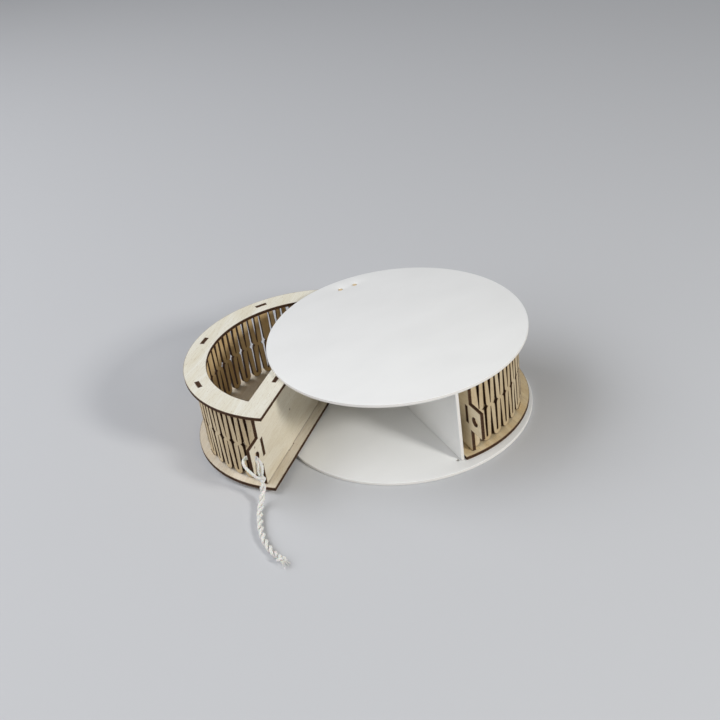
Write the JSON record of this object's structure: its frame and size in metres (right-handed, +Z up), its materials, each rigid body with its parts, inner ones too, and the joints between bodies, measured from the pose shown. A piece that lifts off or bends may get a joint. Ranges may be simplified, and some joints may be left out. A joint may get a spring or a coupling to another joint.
{
  "type": "round wooden box with swing-out trays",
  "caption": "Round laser-cut plywood box: white discs above and below a partition, with half-round trays that swing out on pins at the rear.",
  "frame": {"origin": "centre of the underside of the base disc, on the surface the box stands on", "axes": "+Z up; +Y along the partition to the rear, where the trays are pinned; +X towards the right tray"},
  "size_m": [0.2988, 0.2684, 0.082],
  "materials": {
    "white_paint": "satin white paint on plywood",
    "birch_plywood": "bare, laser cut, with burnt edges",
    "birch_dowel": "bare",
    "cotton_cord": "twisted, matt"
  },
  "bodies": {
    "box": {"base_disc": "white_paint", "lid_disc": "white_paint", "partition": "white_paint", "left_pivot_pin": "birch_dowel", "right_pivot_pin": "birch_dowel"},
    "left_tray": {"left_tray_floor": "birch_plywood", "left_tray_frame": "birch_plywood", "left_straight_wall": "birch_plywood", "left_curved_wall": "birch_plywood", "cord_loop": "cotton_cord", "cord_knot": "cotton_cord", "cord_tail": "cotton_cord", "cord_end_knot": "cotton_cord"},
    "right_tray": {"right_tray_floor": "birch_plywood", "right_tray_frame": "birch_plywood", "right_straight_wall": "birch_plywood", "right_curved_wall": "birch_plywood"}
  },
  "joints": [
    {"name": "left_tray_swing", "type": "hinge", "parent": "box", "child": "left_tray", "pos_m": [-0.0075, 0.0988, 0.041], "axis": [0, 0, 1], "range_deg": [-44.7, 45.3]},
    {"name": "right_tray_swing", "type": "hinge", "parent": "box", "child": "right_tray", "pos_m": [0.0075, 0.0988, 0.041], "axis": [0, 0, 1], "range_deg": [0, 90]}
  ]
}
